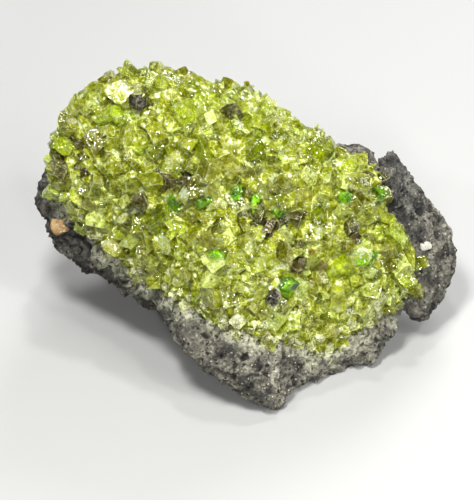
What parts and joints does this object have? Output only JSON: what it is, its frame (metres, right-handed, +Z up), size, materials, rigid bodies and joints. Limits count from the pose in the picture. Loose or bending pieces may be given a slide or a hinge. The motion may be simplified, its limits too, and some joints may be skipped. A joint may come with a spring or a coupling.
{
  "type": "peridot crystal specimen",
  "caption": "Hand specimen of intergrown peridot (olivine) crystals with emerald-green and brown grains, partly wrapped in dark vesicular basalt that gives it a flat underside.",
  "frame": {"origin": "on the flat underside, below the middle of the specimen", "axes": "+Z up from the resting face, +X along the longest extent and to the right of the broken green face, +Y away from the side that shows that face"},
  "size_m": [0.0868, 0.0666, 0.0575],
  "materials": {
    "peridot": "glassy, translucent yellow-green crystals",
    "basalt": "matte, rough and pitted with gas holes",
    "chrome_diopside": "glassy, emerald green",
    "pyroxene": "glassy, dark olive brown",
    "spinel": "semi-gloss, nearly black",
    "tan_inclusion": "matte, weathered tan",
    "white_inclusion": "matte, chalky white"
  },
  "bodies": {
    "root": {"peridot_mass": "peridot", "basalt_matrix": "basalt", "chrome_diopside_1": "chrome_diopside", "chrome_diopside_2": "chrome_diopside", "chrome_diopside_3": "chrome_diopside", "chrome_diopside_4": "chrome_diopside", "chrome_diopside_5": "chrome_diopside", "chrome_diopside_6": "chrome_diopside", "chrome_diopside_7": "chrome_diopside", "chrome_diopside_8": "chrome_diopside", "chrome_diopside_9": "chrome_diopside", "chrome_diopside_10": "chrome_diopside", "pyroxene_1": "pyroxene", "pyroxene_2": "pyroxene", "pyroxene_3": "pyroxene", "pyroxene_4": "pyroxene", "pyroxene_5": "pyroxene", "spinel_1": "spinel", "spinel_2": "spinel", "tan_inclusion": "tan_inclusion", "white_inclusion": "white_inclusion"}
  },
  "joints": []
}
